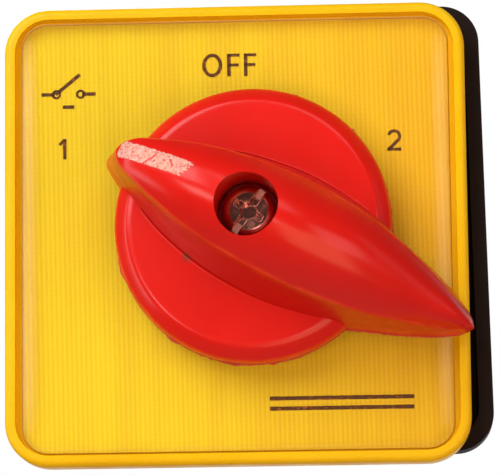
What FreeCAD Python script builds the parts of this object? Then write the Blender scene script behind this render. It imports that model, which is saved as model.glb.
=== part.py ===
import FreeCAD, Part
import math
import os

from FreeCAD import Vector

# Rotary isolator switch for panel mounting: red lever handle on a yellow 64 mm
# front plate, black base, and a three-deck cam switch behind the panel.
#
# Frame: the front faces -Y, +Z is up, and the shaft turns on the Y axis.
# The plane y = 0 is where the gasket meets the panel. All sizes are in mm.
# Angles in the XZ plane run counter-clockwise from +X, as the user sees them.

# ---- front assembly -------------------------------------------------------
PLATE = 64.0            # side of the front frame, width of the base
BASE_TALL = 62.4        # height of the base
PLATE_R = 6.2           # corner radius of the front frame
BASE_R = 5.2            # corner radius of the base
GASKET_Y = -1.5         # front of the gasket, rear of the base
BASE_FLOOR_Y = -4.0     # front of the base floor
BASE_Y = -7.5           # front of the base, rear of the front frame
FRAME_FLOOR_Y = -9.2    # floor of the recess in the front frame
LEGEND_Y = -10.0        # front of the legend plate
RIM_Y = -12.0           # front of the frame's raised rim
COVER_Y = -12.4         # front of the clear cover
RIM_W = 1.5             # width of the rim
COVER = 59.4            # width of the clear cover
COVER_TALL = 60.2       # height of the clear cover
COVER_R = 3.6           # corner radius of the clear cover
COVER_EDGE = 1.5        # rounding of the clear cover's front edge
CENTRE_HOLE = 10.0      # radius of the hole in frame, legend and cover
PLATE_DX = -2.6         # the clipped-on front sits a little off the base
PLATE_DZ = -0.4
PLATE_TURN = -1.1       # degrees

FIX = 24.0              # fixing holes are at +-FIX in X and Z
FIX_R = 2.25            # radius of the fixing holes
WALL = 2.0              # wall of the base tray

# ---- handle ---------------------------------------------------------------
HANDLE_Y = -13.0        # rear of the handle's disc
DISC_R = 19.0
DISC_T = 4.4            # thickness of the disc
DISC_EDGE = 1.6         # rounding of its front edge
SPIGOT_R = 6.6          # collar behind the disc
SPIGOT_Y = -8.2
SCREW_WELL_R = 4.25     # well that the handle screw sits in
WELL_FLOOR_Y = -24.0
LEVER_REST = 153.0      # direction of the lever's marked end at rest
SHAFT_REST = 150.0      # direction of position 1

# ---- shaft and mechanism --------------------------------------------------
SHAFT_SQ = 8.0
SHAFT_ROUND = 5.2       # the square's corners are turned to this radius
SHAFT_FRONT = -20.0
SHAFT_REAR = 55.4
RUN = 0.05              # radial running clearance
FIT = 0.1               # clearance of sliding and loose fits

BODY = 46.0             # side of the housings behind the panel
BODY_CUT = 8.0          # their corner chamfers
TIE_X = 18.5            # tie bolts are at +-TIE_X on the X axis
TIE_R = 1.75
LATCH_REAR = 14.0
DECK = 13.0             # length of one contact deck
DECKS = 3
REAR_COVER = 4.0

CAM_LOW = 8.0
CAM_HIGH = 11.0
CAM_GAP = 0.2           # gap between cam and follower
SWITCH_ANGLE = 120.0    # from position 1 to position 2
HUB_R = 7.0             # hub of cams and star wheel

Y_AXIS = Vector(0, 1, 0)


def cyl(r, y0, y1, x=0.0, z=0.0):
    """Cylinder along Y."""
    return Part.makeCylinder(r, y1 - y0, Vector(x, y0, z), Y_AXIS)


def cyl_x(r, x0, x1, y, z):
    """Cylinder along X."""
    return Part.makeCylinder(r, x1 - x0, Vector(x0, y, z), Vector(1, 0, 0))


def cyl_z(r, z0, z1, x, y):
    """Cylinder along Z."""
    return Part.makeCylinder(r, z1 - z0, Vector(x, y, z0), Vector(0, 0, 1))


def box(x0, x1, y0, y1, z0, z1):
    return Part.makeBox(x1 - x0, y1 - y0, z1 - z0, Vector(x0, y0, z0))


def along_y(shape):
    """The edges of a shape that run along Y."""
    found = []
    for edge in shape.Edges:
        ends = edge.Vertexes
        if len(ends) != 2:
            continue
        run = ends[1].Point.sub(ends[0].Point)
        if abs(run.x) < 1e-6 and abs(run.z) < 1e-6:
            found.append(edge)
    return found


def at_y(shape, y):
    """The edges of a shape that lie in one plane across Y."""
    found = []
    for edge in shape.Edges:
        bounds = edge.BoundBox
        if abs(bounds.YMin - y) < 1e-6 and abs(bounds.YMax - y) < 1e-6:
            found.append(edge)
    return found


def rounded(side, r, y0, y1, tall=None):
    """Slab with rounded corners, square unless its height is given."""
    half = (side if tall is None else tall) / 2
    slab = box(-side / 2, side / 2, y0, y1, -half, half)
    return slab.makeFillet(r, along_y(slab))


def chamfered(side, cut, y0, y1):
    """Square slab with cut corners."""
    slab = box(-side / 2, side / 2, y0, y1, -side / 2, side / 2)
    return slab.makeChamfer(cut, along_y(slab))


def polar(r, degrees):
    a = math.radians(degrees)
    return r * math.cos(a), r * math.sin(a)


def prism(points, y0, y1):
    """Solid between y0 and y1 over a closed outline of (x, z) points."""
    corners = [Vector(x, y0, z) for x, z in points]
    wire = Part.makePolygon(corners + [corners[0]])
    return Part.Face(wire).extrude(Vector(0, y1 - y0, 0))


def sector(r0, r1, a0, a1, y0, y1):
    """Piece of a ring between two angles."""
    steps = 8
    angles = [a0 + (a1 - a0) * i / steps for i in range(steps + 1)]
    outline = [polar(r1, a) for a in angles]
    outline += [polar(r0, a) for a in reversed(angles)]
    return prism(outline, y0, y1)


def turn(shape, degrees):
    """Turn a shape about the Y axis, counter-clockwise for the user."""
    shape.rotate(Vector(0, 0, 0), Y_AXIS, -degrees)
    return shape


def fused(shapes):
    whole = shapes[0]
    for shape in shapes[1:]:
        whole = whole.fuse(shape)
    return whole.removeSplitter()


def cut_all(shape, tools):
    for tool in tools:
        shape = shape.cut(tool)
    return shape


def save(name, shape):
    shape.exportStep("parts/%s.step" % name)


def corners(step):
    return [(sx * step, sz * step) for sx in (-1, 1) for sz in (-1, 1)]


def square_hole(side, y0, y1, degrees):
    """Prism with the section of the shaft, grown to the given side."""
    hole = box(-side / 2, side / 2, y0, y1, -side / 2, side / 2)
    hole = hole.common(cyl(SHAFT_ROUND + (side - SHAFT_SQ) / 2, y0, y1))
    return turn(hole, degrees)


# ---- panel gasket and base ------------------------------------------------

def make_gasket():
    outer = rounded(62.0, 4.0, GASKET_Y, 0.0, BASE_TALL - 2.0)
    inner = chamfered(47.5, 8.5, GASKET_Y, 0.0)
    holes = [cyl(FIX_R, GASKET_Y, 0.0, x, z) for x, z in corners(FIX)]
    return cut_all(outer, [inner] + holes)


BUSH_R = 8.0
BOSS_R = 11.0
CLIP_X = 11.0           # where the frame's clips stand
CLIP_HALF = 3.0         # half the width of a clip
CLIP_Z = BASE_TALL / 2 - WALL - 2.6


def make_base():
    tray = rounded(PLATE, BASE_R, BASE_Y, GASKET_Y, BASE_TALL)
    tray = tray.makeFillet(0.8, at_y(tray, GASKET_Y))
    hollow = rounded(PLATE - 2 * WALL, BASE_R - 1.2, BASE_Y, BASE_FLOOR_Y, BASE_TALL - 2 * WALL)
    bosses = [cyl(4.6, BASE_Y + 1.2, BASE_FLOOR_Y, x, z) for x, z in corners(FIX)]
    bosses.append(cyl(BOSS_R, BASE_Y + 0.6, BASE_FLOOR_Y))
    ribs = []
    for degrees in (45, 135, 225, 315):
        rib = box(-0.6, 0.6, BASE_Y + 1.0, BASE_FLOOR_Y, 10.5, 22.0)
        ribs.append(turn(rib, degrees))
    catches = []
    for sz in (-1, 1):
        for sx in (-1, 1):
            z = sz * (BASE_TALL / 2 - WALL - 0.9)
            x = sx * CLIP_X
            catches.append(box(x - 6, x + 6, BASE_Y + 0.4, BASE_Y + 1.4,
                               min(z, z + sz * 0.9), max(z, z + sz * 0.9)))
    base = fused([tray.cut(hollow)] + bosses + ribs + catches)
    tools = [cyl(FIX_R, BASE_Y, GASKET_Y, x, z) for x, z in corners(FIX)]
    tools.append(cyl(BUSH_R + 0.02, BASE_Y, GASKET_Y))
    for sx in (-1, 1):
        tools.append(cyl(TIE_R + 0.15, BASE_Y, GASKET_Y, sx * TIE_X, 0))
    return cut_all(base, tools)


def make_shaft_bush():
    body = cyl(BUSH_R, BASE_Y + 1.2, GASKET_Y)
    flange = cyl(BUSH_R + 1.6, BASE_Y, BASE_Y + 0.6)
    neck = cyl(BUSH_R, BASE_Y + 0.6, BASE_Y + 1.2)
    return fused([body, neck, flange]).cut(cyl(SHAFT_ROUND + RUN, BASE_Y, GASKET_Y))


# ---- front frame, legend plate and clear cover ----------------------------

def off_centre(shape):
    """Put a piece where the loosely clipped front sits."""
    turn(shape, PLATE_TURN)
    shape.translate(Vector(PLATE_DX, 0, PLATE_DZ))
    return shape


def make_front_frame():
    frame = rounded(PLATE, PLATE_R, RIM_Y, BASE_Y)
    frame = frame.makeFillet(1.0, at_y(frame, RIM_Y))
    recess = rounded(PLATE - 2 * RIM_W, PLATE_R - RIM_W, RIM_Y, LEGEND_Y + 0.2)
    seat = rounded(COVER + 0.2, COVER_R + 0.1, RIM_Y, FRAME_FLOOR_Y, COVER_TALL + 0.2)
    frame = cut_all(frame, [recess, seat, cyl(CENTRE_HOLE, RIM_Y, BASE_Y)])
    clips = []
    for sz in (-1, 1):
        for sx in (-1, 1):
            x = sx * CLIP_X
            z = sz * CLIP_Z
            clips.append(box(x - CLIP_HALF, x + CLIP_HALF, BASE_Y, BASE_FLOOR_Y - 0.4,
                             z - 0.6, z + 0.6))
            lip = z + sz * 0.3
            clips.append(box(x - CLIP_HALF, x + CLIP_HALF, BASE_FLOOR_Y - 1.6, BASE_FLOOR_Y - 0.4,
                             min(lip, lip + sz * 0.6), max(lip, lip + sz * 0.6)))
    return off_centre(fused([frame] + clips))


def make_legend_plate():
    plate = rounded(COVER - 0.2, COVER_R - 0.1, LEGEND_Y, FRAME_FLOOR_Y, COVER_TALL - 0.2)
    return off_centre(plate.cut(cyl(CENTRE_HOLE, LEGEND_Y, FRAME_FLOOR_Y)))


def make_clear_cover():
    cover = rounded(COVER, COVER_R, COVER_Y, LEGEND_Y, COVER_TALL)
    cover = cover.makeFillet(COVER_EDGE, at_y(cover, COVER_Y))
    cover = cover.cut(cyl(CENTRE_HOLE, COVER_Y, LEGEND_Y))
    return off_centre(cover)


# ---- handle ---------------------------------------------------------------

# Sections of the lever, from the marked end to the pointed tail: distance from
# the axis, half width at the shoulder, half width at the foot, height of the
# shoulder, height of the crest. Heights are above the rear of the disc.
LEVER = (
    (22.4, 0.4, 0.6, 1.4, 2.0),
    (21.4, 1.3, 1.5, 5.6, 6.6),
    (20.4, 1.9, 2.1, 10.2, 11.6),
    (19.4, 2.2, 2.7, 14.2, 15.6),
    (18.2, 2.3, 3.3, 16.6, 17.6),
    (15.5, 3.1, 4.8, 17.4, 19.0),
    (12.0, 4.3, 6.6, 17.6, 20.3),
    (8.0, 5.5, 8.1, 17.5, 21.2),
    (4.0, 6.25, 9.2, 17.0, 21.6),
    (0.0, 6.7, 9.8, 16.4, 21.7),
    (-4.0, 6.95, 10.1, 15.8, 21.3),
    (-8.0, 6.95, 9.8, 15.0, 20.5),
    (-12.0, 6.7, 9.1, 13.9, 19.0),
    (-16.0, 6.2, 8.0, 12.2, 16.9),
    (-20.0, 5.35, 6.6, 9.9, 14.1),
    (-24.0, 4.2, 5.3, 7.5, 11.0),
    (-28.0, 2.8, 3.7, 5.0, 7.6),
    (-31.0, 1.5, 2.1, 3.1, 4.8),
    (-32.6, 0.7, 1.0, 2.0, 3.0),
    (-33.2, 0.25, 0.4, 1.4, 1.9),
)


def lever_section(u, shoulder, foot, rise, crest):
    """One closed section across the lever, lying along +X."""
    y = HANDLE_Y
    left_foot = Vector(u, y, -foot)
    left_top = Vector(u, y - rise, -shoulder)
    middle = Vector(u, y - crest, 0)
    right_top = Vector(u, y - rise, shoulder)
    right_foot = Vector(u, y, foot)
    edges = [
        Part.makeLine(left_foot, left_top),
        Part.Arc(left_top, middle, right_top).toShape(),
        Part.makeLine(right_top, right_foot),
        Part.makeLine(right_foot, left_foot),
    ]
    return Part.Wire(edges)


def make_handle():
    disc = cyl(DISC_R, HANDLE_Y - DISC_T, HANDLE_Y)
    disc = disc.makeFillet(DISC_EDGE, at_y(disc, HANDLE_Y - DISC_T))
    lever = Part.makeLoft([lever_section(*row) for row in LEVER], True, False)
    handle = fused([disc, lever, cyl(SPIGOT_R, HANDLE_Y, SPIGOT_Y)])
    tools = [
        cyl(SCREW_WELL_R, HANDLE_Y - 30, WELL_FLOOR_Y),
        cyl(2.3, WELL_FLOOR_Y, SHAFT_FRONT),
        box(-4.35, 4.35, SHAFT_FRONT - 0.6, SPIGOT_Y, -4.35, 4.35),
    ]
    return turn(cut_all(handle, tools), LEVER_REST)


def make_spring_washer():
    """Split lock washer under the head of the handle screw."""
    ring = cyl(3.45, WELL_FLOOR_Y - 0.9, WELL_FLOOR_Y)
    ring = ring.cut(cyl(2.1, WELL_FLOOR_Y - 0.9, WELL_FLOOR_Y))
    return ring.cut(box(0, 5, WELL_FLOOR_Y - 1, WELL_FLOOR_Y, -0.4, 0.4))


def make_handle_screw():
    """Cheese head M4 screw with a cross recess and a full slot."""
    seat = WELL_FLOOR_Y - 0.9
    top = seat - 2.5
    head = cyl(3.5, top, seat)
    head = head.makeFillet(1.1, at_y(head, top))
    shank = cyl(2.0, seat, SHAFT_FRONT + 8.0)
    shank = shank.makeChamfer(0.5, at_y(shank, SHAFT_FRONT + 8.0))
    screw = fused([head, shank])
    slot = box(-5, 5, top - 1, top + 1.0, -0.5, 0.5)
    cross = [box(-2.1, 2.1, top - 1, top + 1.7, -0.45, 0.45),
             box(-0.45, 0.45, top - 1, top + 1.7, -2.1, 2.1),
             cyl(1.1, top - 1, top + 1.9)]
    screw = cut_all(screw, [slot] + cross)
    return turn(screw, 54.0)


# ---- shaft and latch ------------------------------------------------------

def make_shaft():
    square = square_hole(SHAFT_SQ, SHAFT_FRONT, SHAFT_REAR, 0)
    journal = cyl(SHAFT_ROUND, BASE_Y - 0.4, 1.5)
    tail = cyl(SHAFT_ROUND, SHAFT_REAR - 2.3, SHAFT_REAR)
    shaft = fused([square, journal, tail])
    tapped = cyl(2.05, SHAFT_FRONT, SHAFT_FRONT + 9.0)
    return turn(shaft.cut(tapped), SHAFT_REST)


def tie_holes(y0, y1):
    return [cyl(TIE_R + 0.15, y0, y1, sx * TIE_X, 0) for sx in (-1, 1)]


STOP_R = 12.0
STAR_Y = (3.0, 9.0)
STOP_Y = (9.6, 13.0)
STOP_HALF = 8.0


def make_latch_housing():
    shell = chamfered(BODY, BODY_CUT, GASKET_Y, LATCH_REAR)
    hollow = chamfered(BODY - 2 * WALL, BODY_CUT - 0.8, 1.0, LATCH_REAR)
    bosses = [cyl(3.6, 1.0, LATCH_REAR, sx * TIE_X, 0) for sx in (-1, 1)]
    for sx in (-1, 1):
        bosses.append(box(min(sx * TIE_X, sx * 22), max(sx * TIE_X, sx * 22),
                          1.0, LATCH_REAR, -3.6, 3.6))
    posts = []
    slots = []
    for sx in (-1, 1):
        for sz in (-1, 1):
            xs = sorted((sx * 14.5, sx * 19.5))
            zs = sorted((sz * 13.2, sz * 17.8))
            posts.append(box(xs[0], xs[1], 1.0, 10.0, zs[0], zs[1]))
            xs = sorted((sx * 14.0, sx * 18.0))
            zs = sorted((sz * 14.95, sz * 15.95))
            slots.append(box(xs[0], xs[1], 3.2, 11.0, zs[0], zs[1]))
    lug = STOP_HALF + 1.0
    stops = [
        sector(9.0, 16.0, SHAFT_REST + lug, SHAFT_REST + lug + 32, STOP_Y[0], LATCH_REAR),
        sector(9.0, 16.0, SHAFT_REST - SWITCH_ANGLE - lug - 32,
               SHAFT_REST - SWITCH_ANGLE - lug, STOP_Y[0], LATCH_REAR),
    ]
    posts = [post.common(shell) for post in posts]
    housing = fused([shell.cut(hollow)] + bosses + posts + stops)
    tools = tie_holes(GASKET_Y, LATCH_REAR) + slots
    tools.append(cyl(SHAFT_ROUND + RUN, GASKET_Y, 1.0))
    return cut_all(housing, tools)


def make_star_wheel():
    """Index wheel: six notches for the spring arms, and the stop lug."""
    points = []
    for i in range(6):
        notch = SHAFT_REST - 60 + 60 * i
        points.append(polar(9.4, notch - 3))
        points.append(polar(9.4, notch + 3))
        points.append(polar(13.0, notch + 24))
        points.append(polar(13.0, notch + 36))
    wheel = prism(points, STAR_Y[0], STAR_Y[1])
    hub = cyl(HUB_R, 1.6, LATCH_REAR - 0.02)
    lug = sector(6.0, STOP_R, SHAFT_REST - STOP_HALF, SHAFT_REST + STOP_HALF,
                 STAR_Y[1], STOP_Y[1])
    wheel = fused([wheel, hub, lug])
    return wheel.cut(square_hole(SHAFT_SQ + FIT, 1.0, LATCH_REAR, SHAFT_REST))


def make_detent_spring(side):
    """Bent strip of spring steel whose nose rests in a notch of the star wheel."""
    t = 0.6
    path = [(-17.6, 15.3), (-6.0, 15.1), (-1.3, 9.9), (1.3, 9.9), (6.0, 15.1), (17.6, 15.3)]
    upper = [(17.6, 15.3 + t), (5.7, 15.1 + t), (1.0, 9.9 + t), (-1.0, 9.9 + t),
             (-5.7, 15.1 + t), (-17.6, 15.3 + t)]
    outline = [(x, side * z) for x, z in path + upper]
    return prism(outline, 3.6, 8.4)


# ---- contact decks --------------------------------------------------------

STRIP_T = 1.2           # contact strips
STRIP_Z = 10.0          # inner face of the fixed strips
TIP_R = 1.5
TIP_H = 0.55
LIFT = CAM_HIGH - CAM_LOW
CONTACT_Z = STRIP_Z + STRIP_T + TIP_H    # where the tips meet
NOSE_R = 2.5
CHAMBER_X = 13.0
CHAMBER_Z = 21.2
RECESS_X = 16.2         # terminal recesses run from here to the side
RECESS_Z = (3.4, BODY / 2 + 1)  # and are open at the cut corners, where wires go in
SCREW_Z = 7.0
BRIDGE_X = 11.2
STEM_R = 1.6
COIL_R = 2.1            # contact springs
COIL_WIRE = 0.2         # radius of the wire
COIL_TURNS = 3.5


def each_terminal():
    return [(sx, sz) for sx in (-1, 1) for sz in (-1, 1)]


def mirrored_box(sx, sz, x0, x1, y0, y1, z0, z1):
    xs = sorted((sx * x0, sx * x1))
    zs = sorted((sz * z0, sz * z1))
    return box(xs[0], xs[1], y0, y1, zs[0], zs[1])


def mirrored_x_cyl(sx, r, x0, x1, y, z):
    xs = sorted((sx * x0, sx * x1))
    return cyl_x(r, xs[0], xs[1], y, z)


def make_deck_housing(y0):
    """Insulating housing of one deck, open at its rear."""
    y1 = y0 + DECK
    mid = y0 + 7.0
    shell = chamfered(BODY, BODY_CUT, y0, y1)
    tools = [cyl(12.0, y0 + 1.5, y1), cyl(HUB_R + 0.3, y0, y1)]
    tools.append(box(-CHAMBER_X, CHAMBER_X, y0 + 1.5, y1, 8.6, CHAMBER_Z))
    tools.append(box(-CHAMBER_X, CHAMBER_X, y0 + 1.5, y1, -CHAMBER_Z, -8.6))
    tools += tie_holes(y0, y1)
    for sx, sz in each_terminal():
        tools.append(mirrored_box(sx, sz, RECESS_X, BODY / 2 + 1, y0 + 2.0, y0 + 11.6,
                                  RECESS_Z[0], RECESS_Z[1]))
        tools.append(mirrored_box(sx, sz, CHAMBER_X - 1, RECESS_X + 1, mid - 2.5, mid + 2.5,
                                  STRIP_Z, STRIP_Z + STRIP_T))
        tools.append(mirrored_x_cyl(sx, 1.8, 12.6, RECESS_X + 1, mid, sz * SCREW_Z))
    housing = cut_all(shell, tools)
    cheeks = []
    for sx, sz in each_terminal():
        cheeks.append(mirrored_box(sx, sz, 3.3, 6.2, y0 + 1.0, y0 + 12.5, 11.5, 12.3))
        cheeks.append(mirrored_box(sx, sz, 6.9, CHAMBER_X + 0.5, y0 + 1.0, mid - 2.5, 9.9, 11.6))
    return fused([housing] + cheeks)


def cam_radius(angle):
    """Cam radius seen at rest in a direction, counter-clockwise from +X."""
    a = angle % 360.0
    if a < 30.0:
        a += 360.0
    if a <= 90.0:
        return CAM_LOW
    if a <= 90.0 + SWITCH_ANGLE:
        return CAM_LOW + LIFT * (a - 90.0) / SWITCH_ANGLE
    if a <= 270.0:
        return CAM_HIGH
    return CAM_HIGH - LIFT * (a - 270.0) / SWITCH_ANGLE


def make_cam(y0):
    points = [polar(cam_radius(a), a) for a in range(0, 360, 5)]
    cam = fused([prism(points, y0 + 3.0, y0 + 11.0), cyl(HUB_R, y0, y0 + DECK - 0.02)])
    return cam.cut(square_hole(SHAFT_SQ + FIT, y0, y0 + DECK, SHAFT_REST))


def lift_at_rest(side):
    """Contact 1, above, is closed at rest; contact 2, below, is fully open."""
    if side > 0:
        return 0.0
    return -LIFT


def make_plunger(y0, side):
    """Follower that rides on the cam and carries the bridge."""
    mid = y0 + 7.0
    nose = CAM_LOW + CAM_GAP
    nose_roll = cyl(NOSE_R, mid - 2.8, mid + 2.8, 0, nose + NOSE_R)
    body = box(-3.2, 3.2, mid - 2.8, mid + 2.8, nose + NOSE_R, 16.0)
    roll_cap = box(-3.2, 3.2, mid - 2.8, mid + 2.8, nose + 1.0, nose + 3.0)
    roll_cap = roll_cap.common(cyl(3.4, mid - 2.8, mid + 2.8, 0, nose + 3.4))
    stem = cyl_z(STEM_R, 15.5, 17.4, 0, mid)
    window = box(-4, 4, mid - 2.1, mid + 2.1, CONTACT_Z + TIP_H, CONTACT_Z + TIP_H + STRIP_T)
    plunger = fused([nose_roll, roll_cap, body, stem]).cut(window)
    if side < 0:
        plunger = plunger.mirror(Vector(0, 0, 0), Vector(0, 0, 1))
    plunger.translate(Vector(0, 0, lift_at_rest(side)))
    return plunger


def make_bridge(y0, side):
    """Moving contact strip with a silver tip at each end."""
    mid = y0 + 7.0
    z = CONTACT_Z + TIP_H
    strip = box(-BRIDGE_X, BRIDGE_X, mid - 2.0, mid + 2.0, z, z + STRIP_T)
    tips = [cyl_z(TIP_R, CONTACT_Z, z, sx * 9.2, mid) for sx in (-1, 1)]
    bridge = fused([strip] + tips)
    if side < 0:
        bridge = bridge.mirror(Vector(0, 0, 0), Vector(0, 0, 1))
    bridge.translate(Vector(0, 0, lift_at_rest(side)))
    return bridge


def make_contact_spring(y0, side):
    """Coil spring between the plunger's shoulder and the housing wall."""
    mid = y0 + 7.0
    low = 16.0 + (0.0 if side > 0 else LIFT)
    rise = CHAMBER_Z - low - 2 * COIL_WIRE - 0.06
    steps = int(COIL_TURNS * 12)
    sections = []
    for i in range(steps + 1):
        a = 2 * math.pi * i / 12
        centre = Vector(COIL_R * math.cos(a), COIL_R * math.sin(a), rise * i / steps)
        along = Vector(-math.sin(a), math.cos(a), 0)
        sections.append(Part.Wire([Part.makeCircle(COIL_WIRE, centre, along)]))
    coil = Part.makeLoft(sections, True, True)
    coil.translate(Vector(0, mid, low + COIL_WIRE + 0.03))
    if side < 0:
        coil = coil.mirror(Vector(0, 0, 0), Vector(0, 0, 1))
    return coil


def make_fixed_contacts(y0):
    """Four bent strips, each from a contact tip to its terminal pad."""
    mid = y0 + 7.0
    strips = []
    for sx, sz in each_terminal():
        arm = mirrored_box(sx, sz, 7.2, RECESS_X + STRIP_T, mid - 2.4, mid + 2.4,
                           STRIP_Z, STRIP_Z + STRIP_T)
        pad = mirrored_box(sx, sz, RECESS_X, RECESS_X + STRIP_T, mid - 2.4, mid + 2.4,
                           RECESS_Z[0] + 0.3, STRIP_Z + STRIP_T)
        tip_z = sorted((sz * (STRIP_Z + STRIP_T), sz * (CONTACT_Z - 0.03)))
        tip = cyl_z(TIP_R, tip_z[0], tip_z[1], sx * 9.2, mid)
        strip = fused([arm, pad, tip])
        strips.append(strip.cut(mirrored_x_cyl(sx, 1.8, 15, 19, mid, sz * SCREW_Z)))
    return Part.makeCompound(strips)


CLAMP_X = (RECESS_X + STRIP_T, RECESS_X + STRIP_T + 0.9)


def make_clamp_washers(y0):
    """Square clamp washers that hold the wires on the pads."""
    mid = y0 + 7.0
    washers = []
    for sx, sz in each_terminal():
        plate = mirrored_box(sx, sz, CLAMP_X[0], CLAMP_X[1], mid - 3.4, mid + 3.4,
                             SCREW_Z - 3.3, SCREW_Z + 3.3)
        washers.append(plate.cut(mirrored_x_cyl(sx, 1.85, 15, 20, mid, sz * SCREW_Z)))
    return Part.makeCompound(washers)


def make_terminal_screws(y0):
    mid = y0 + 7.0
    screws = []
    for sx, sz in each_terminal():
        head = mirrored_x_cyl(sx, 3.0, CLAMP_X[1], CLAMP_X[1] + 2.2, mid, sz * SCREW_Z)
        shank = mirrored_x_cyl(sx, 1.7, 13.0, CLAMP_X[1], mid, sz * SCREW_Z)
        slot = mirrored_box(sx, sz, CLAMP_X[1] + 1.2, CLAMP_X[1] + 3, mid - 4, mid + 4,
                            SCREW_Z - 0.4, SCREW_Z + 0.4)
        cross = mirrored_box(sx, sz, CLAMP_X[1] + 0.8, CLAMP_X[1] + 3, mid - 0.4, mid + 0.4,
                             SCREW_Z - 1.6, SCREW_Z + 1.6)
        screws.append(fused([head, shank]).cut(slot).cut(cross))
    return Part.makeCompound(screws)


# ---- rear cover and tie bolts ---------------------------------------------

REAR_Y = LATCH_REAR + DECKS * DECK
END_Y = REAR_Y + REAR_COVER


def make_rear_cover():
    cover = chamfered(BODY, BODY_CUT, REAR_Y, END_Y)
    cover = cover.makeFillet(0.8, at_y(cover, END_Y))
    bearing = cyl(SHAFT_ROUND + RUN, REAR_Y, REAR_Y + 2.6)
    rings = [cyl(HUB_R + 0.3, REAR_Y, REAR_Y + 0.1)]
    return cut_all(cover, [bearing] + rings + tie_holes(REAR_Y, END_Y))


def make_tie_bolts():
    bolts = []
    for sx in (-1, 1):
        x = sx * TIE_X
        head = cyl(3.2, BASE_FLOOR_Y - 2.0, BASE_FLOOR_Y, x, 0)
        shank = cyl(TIE_R, BASE_FLOOR_Y, END_Y + 4.6, x, 0)
        shank = shank.makeChamfer(0.4, at_y(shank, END_Y + 4.6))
        slot = box(x - 4, x + 4, BASE_FLOOR_Y - 3, BASE_FLOOR_Y - 1.1, -0.4, 0.4)
        bolts.append(fused([head, shank]).cut(slot))
    return Part.makeCompound(bolts)


def make_tie_nuts():
    nuts = []
    for sx in (-1, 1):
        corners_hex = [polar(3.45, 60 * i) for i in range(6)]
        hexagon = prism([(x + sx * TIE_X, z) for x, z in corners_hex], END_Y, END_Y + 2.8)
        nuts.append(hexagon.cut(cyl(TIE_R + 0.05, END_Y, END_Y + 2.8, sx * TIE_X, 0)))
    return Part.makeCompound(nuts)


# ---- write every node -----------------------------------------------------

def main():
    os.makedirs("parts", exist_ok=True)
    save("panel_gasket", make_gasket())
    save("base", make_base())
    save("shaft_bush", make_shaft_bush())
    save("front_frame", make_front_frame())
    save("legend_plate", make_legend_plate())
    save("clear_cover", make_clear_cover())
    save("handle", make_handle())
    save("handle_screw", make_handle_screw())
    save("spring_washer", make_spring_washer())
    save("shaft", make_shaft())
    save("latch_housing", make_latch_housing())
    save("star_wheel", make_star_wheel())
    save("detent_spring_upper", make_detent_spring(1))
    save("detent_spring_lower", make_detent_spring(-1))
    for deck in range(DECKS):
        y0 = LATCH_REAR + deck * DECK
        name = str(deck + 1)
        save("deck_housing_" + name, make_deck_housing(y0))
        save("cam_" + name, make_cam(y0))
        save("fixed_contacts_" + name, make_fixed_contacts(y0))
        save("clamp_washers_" + name, make_clamp_washers(y0))
        save("terminal_screws_" + name, make_terminal_screws(y0))
        for side, word in ((1, "upper"), (-1, "lower")):
            save("plunger_%s_%s" % (word, name), make_plunger(y0, side))
            save("bridge_%s_%s" % (word, name), make_bridge(y0, side))
            save("contact_spring_%s_%s" % (word, name), make_contact_spring(y0, side))
    save("rear_cover", make_rear_cover())
    save("tie_bolts", make_tie_bolts())
    save("tie_nuts", make_tie_nuts())


main()
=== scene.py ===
import math
import random

import bmesh
import bpy
from mathutils import Matrix, Vector


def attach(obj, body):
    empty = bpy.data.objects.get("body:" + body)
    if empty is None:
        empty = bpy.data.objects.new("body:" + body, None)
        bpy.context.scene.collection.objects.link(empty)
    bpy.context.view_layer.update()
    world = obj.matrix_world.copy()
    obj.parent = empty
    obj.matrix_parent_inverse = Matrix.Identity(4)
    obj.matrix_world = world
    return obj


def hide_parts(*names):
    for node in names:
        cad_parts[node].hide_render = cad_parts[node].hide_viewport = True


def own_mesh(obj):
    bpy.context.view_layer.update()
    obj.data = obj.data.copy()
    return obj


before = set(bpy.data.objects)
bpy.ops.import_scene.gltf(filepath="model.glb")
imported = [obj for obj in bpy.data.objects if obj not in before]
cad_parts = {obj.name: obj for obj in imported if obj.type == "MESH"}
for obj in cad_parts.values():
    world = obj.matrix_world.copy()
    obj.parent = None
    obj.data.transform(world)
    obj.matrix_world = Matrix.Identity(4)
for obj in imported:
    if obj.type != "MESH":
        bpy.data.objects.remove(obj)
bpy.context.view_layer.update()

MM = 0.001              # one millimetre in the scene's metres

# Heights in millimetres along Y, and turns in degrees, as the CAD model has them.
HANDLE_Y = -13.0        # rear of the disc
DISC_FACE_Y = -17.4     # front of the disc
LEGEND_Y = -10.0        # front of the legend plate
LEVER_TURN = 153.0      # where the lever's marked head points at rest
DISC_R = 19.0
# the clipped-on front sits a little off centre on its base
PLATE_DX, PLATE_DZ, PLATE_TURN = -2.6, -0.4, -1.1


# ---------------------------------------------------------------------------
# Small helpers
# ---------------------------------------------------------------------------

def smooth_all(mesh, angle=None):
    """Smooth shading, with edges sharper than angle (degrees) kept sharp."""
    for poly in mesh.polygons:
        poly.use_smooth = True
    if angle is not None:
        mesh.set_sharp_from_angle(angle=math.radians(angle))


def new_piece(name, mesh, material, body):
    """Show a mesh as one piece that rides on a body of the frame."""
    obj = bpy.data.objects.new(name, mesh)
    bpy.context.scene.collection.objects.link(obj)
    mesh.materials.clear()
    mesh.materials.append(material)
    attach(obj, body)
    return obj


def mesh_from(verts, faces, name):
    """Mesh from points in metres and faces that index them."""
    mesh = bpy.data.meshes.new(name)
    mesh.from_pydata(verts, [], faces)
    mesh.validate()
    mesh.update()
    return mesh


def outward(mesh):
    """Join doubled points and turn every face outwards."""
    bm = bmesh.new()
    bm.from_mesh(mesh)
    bmesh.ops.remove_doubles(bm, verts=bm.verts, dist=1e-7)
    bmesh.ops.recalc_face_normals(bm, faces=bm.faces)
    bm.to_mesh(mesh)
    bm.free()
    return mesh


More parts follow.
